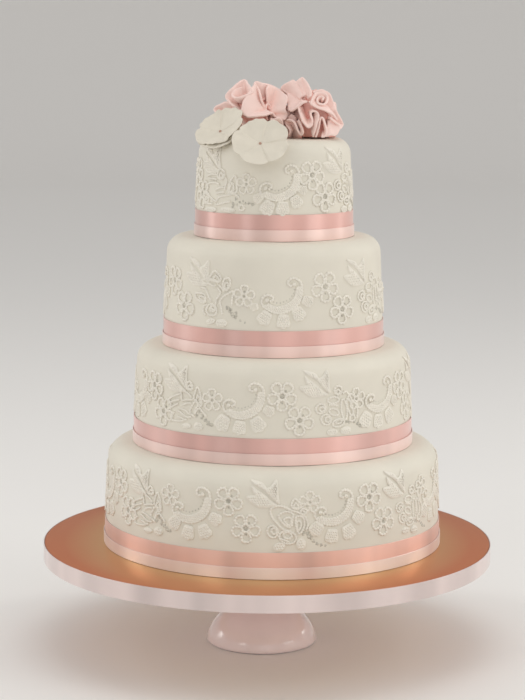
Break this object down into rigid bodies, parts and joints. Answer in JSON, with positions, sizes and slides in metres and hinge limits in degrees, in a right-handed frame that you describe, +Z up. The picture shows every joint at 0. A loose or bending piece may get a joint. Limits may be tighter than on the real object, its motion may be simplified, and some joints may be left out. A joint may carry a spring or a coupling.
{
  "type": "wedding cake",
  "caption": "Tiered wedding cake with white lace in relief, satin ribbons and sugar flowers, on a gold drum board and a low ceramic pedestal.",
  "frame": {"origin": "on the floor, under the middle of the board", "axes": "+Z up, the front with the two white blossoms towards -Y, +X to the viewer's right"},
  "size_m": [0.4068, 0.4068, 0.5135],
  "materials": {
    "fondant": "matt, slightly silky sugar paste",
    "dusky_ribbon": "satin, dusky rose",
    "pale_ribbon": "satin, pale peach pink",
    "white_ribbon": "satin, white",
    "gold_foil": "embossed foil paper, half mirror",
    "ceramic": "white glaze",
    "petal": "matt sugar petal",
    "ruffle": "matt sugar paste ruffle",
    "silver": "edible silver lustre on the lace"
  },
  "bodies": {
    "root": {"blossom_front": "petal", "blossom_left": "petal", "board_ribbon": "white_ribbon", "cake_board": "gold_foil", "cake_stand": "ceramic", "ribbon_narrow_1": "pale_ribbon", "ribbon_narrow_2": "pale_ribbon", "ribbon_narrow_3": "pale_ribbon", "ribbon_narrow_4": "pale_ribbon", "ribbon_wide_1": "dusky_ribbon", "ribbon_wide_2": "dusky_ribbon", "ribbon_wide_3": "dusky_ribbon", "ribbon_wide_4": "dusky_ribbon", "ruffle_flower_left": "ruffle", "ruffle_flower_right": "ruffle", "tier_1": "fondant", "tier_2": "fondant", "tier_3": "fondant", "tier_4": "fondant"}
  },
  "joints": []
}
